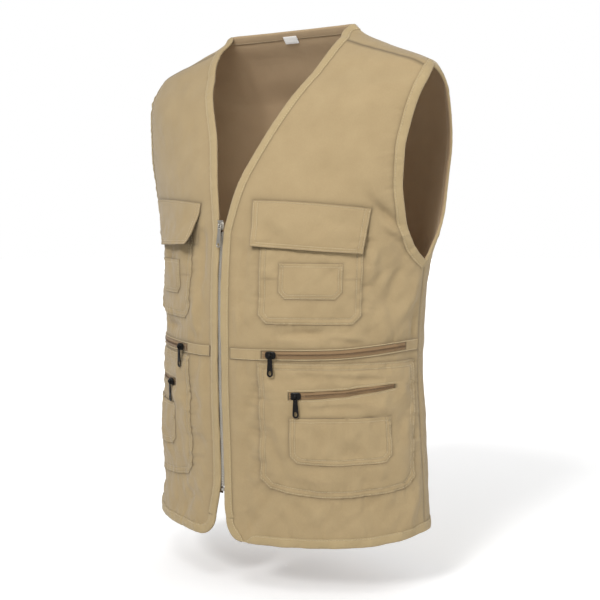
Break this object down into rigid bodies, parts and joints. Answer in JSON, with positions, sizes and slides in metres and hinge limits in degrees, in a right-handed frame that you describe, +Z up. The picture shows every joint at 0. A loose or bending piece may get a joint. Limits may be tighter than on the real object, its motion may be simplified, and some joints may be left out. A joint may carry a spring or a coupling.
{
  "type": "utility work vest",
  "caption": "Sleeveless zip-front utility work vest in khaki cotton with bound edges, flapped chest pockets and patch pockets with zips and hanging pull tabs, held up as worn.",
  "frame": {"origin": "midway between the two neck points at shoulder height, where a wearer's shoulders or a hanger carry the vest", "axes": "+Z up along the vest's length, the front faces -Y, the wearer's left is +X"},
  "size_m": [0.454, 0.2693, 0.6498],
  "materials": {
    "cloth": "khaki cotton twill, soft sheen on folds, topstitched",
    "binding": "khaki edge binding, slightly puckered, one row of stitches",
    "zip_tape": "brown woven tape with a brown coil",
    "black_metal": "black lacquer, satin",
    "silver_metal": "nickel colour, fine wear",
    "label": "white woven tape, blank"
  },
  "bodies": {
    "vest": {"back_panel": "cloth", "upper_front_left": "cloth", "upper_front_right": "cloth", "lower_front_left": "cloth", "lower_front_right": "cloth", "front_and_neck_band": "binding", "hem_band": "binding", "armhole_band_left": "binding", "armhole_band_right": "binding", "neck_label": "label", "front_zip_chain": "silver_metal", "front_zip_bottom_stop": "silver_metal", "front_zip_slider": "silver_metal", "front_zip_tape_left": "zip_tape", "front_zip_tape_right": "zip_tape", "waist_strip_left": "cloth", "waist_strip_right": "cloth", "waist_zip_left": "zip_tape", "waist_zip_right": "zip_tape", "waist_zip_slider_left": "black_metal", "waist_zip_slider_right": "black_metal", "chest_pocket_left": "cloth", "chest_pocket_right": "cloth", "card_pocket_left": "cloth", "card_pocket_right": "cloth", "chest_flap_left": "cloth", "chest_flap_right": "cloth", "lower_pocket_left": "cloth", "lower_pocket_right": "cloth", "lower_zip_left": "zip_tape", "lower_zip_right": "zip_tape", "lower_zip_slider_left": "black_metal", "lower_zip_slider_right": "black_metal", "small_pocket_left": "cloth", "small_pocket_right": "cloth"},
    "front_pull": {"front_zip_pull": "silver_metal"},
    "waist_pull_left": {"waist_zip_pull_left": "black_metal"},
    "waist_pull_right": {"waist_zip_pull_right": "black_metal"},
    "lower_pull_left": {"lower_zip_pull_left": "black_metal"},
    "lower_pull_right": {"lower_zip_pull_right": "black_metal"}
  },
  "joints": [
    {"name": "front_pull_hinge", "type": "hinge", "parent": "vest", "child": "front_pull", "pos_m": [0, -0.13346, -0.25527], "axis": [-1, 0, 0], "range_deg": [0, 160]},
    {"name": "waist_pull_left_hinge", "type": "hinge", "parent": "vest", "child": "waist_pull_left", "pos_m": [0.07498, -0.12796, -0.41227], "axis": [-0.9399, -0.3415, -0.0066], "range_deg": [0, 160]},
    {"name": "waist_pull_right_hinge", "type": "hinge", "parent": "vest", "child": "waist_pull_right", "pos_m": [-0.07496, -0.1279, -0.41227], "axis": [-0.9399, 0.3415, 0.0066], "range_deg": [0, 160]},
    {"name": "lower_pull_left_hinge", "type": "hinge", "parent": "vest", "child": "lower_pull_left", "pos_m": [0.10387, -0.11489, -0.46122], "axis": [-0.8842, -0.4668, -0.0164], "range_deg": [0, 160]},
    {"name": "lower_pull_right_hinge", "type": "hinge", "parent": "vest", "child": "lower_pull_right", "pos_m": [-0.10387, -0.11489, -0.46122], "axis": [-0.8842, 0.4668, 0.0164], "range_deg": [0, 160]}
  ]
}
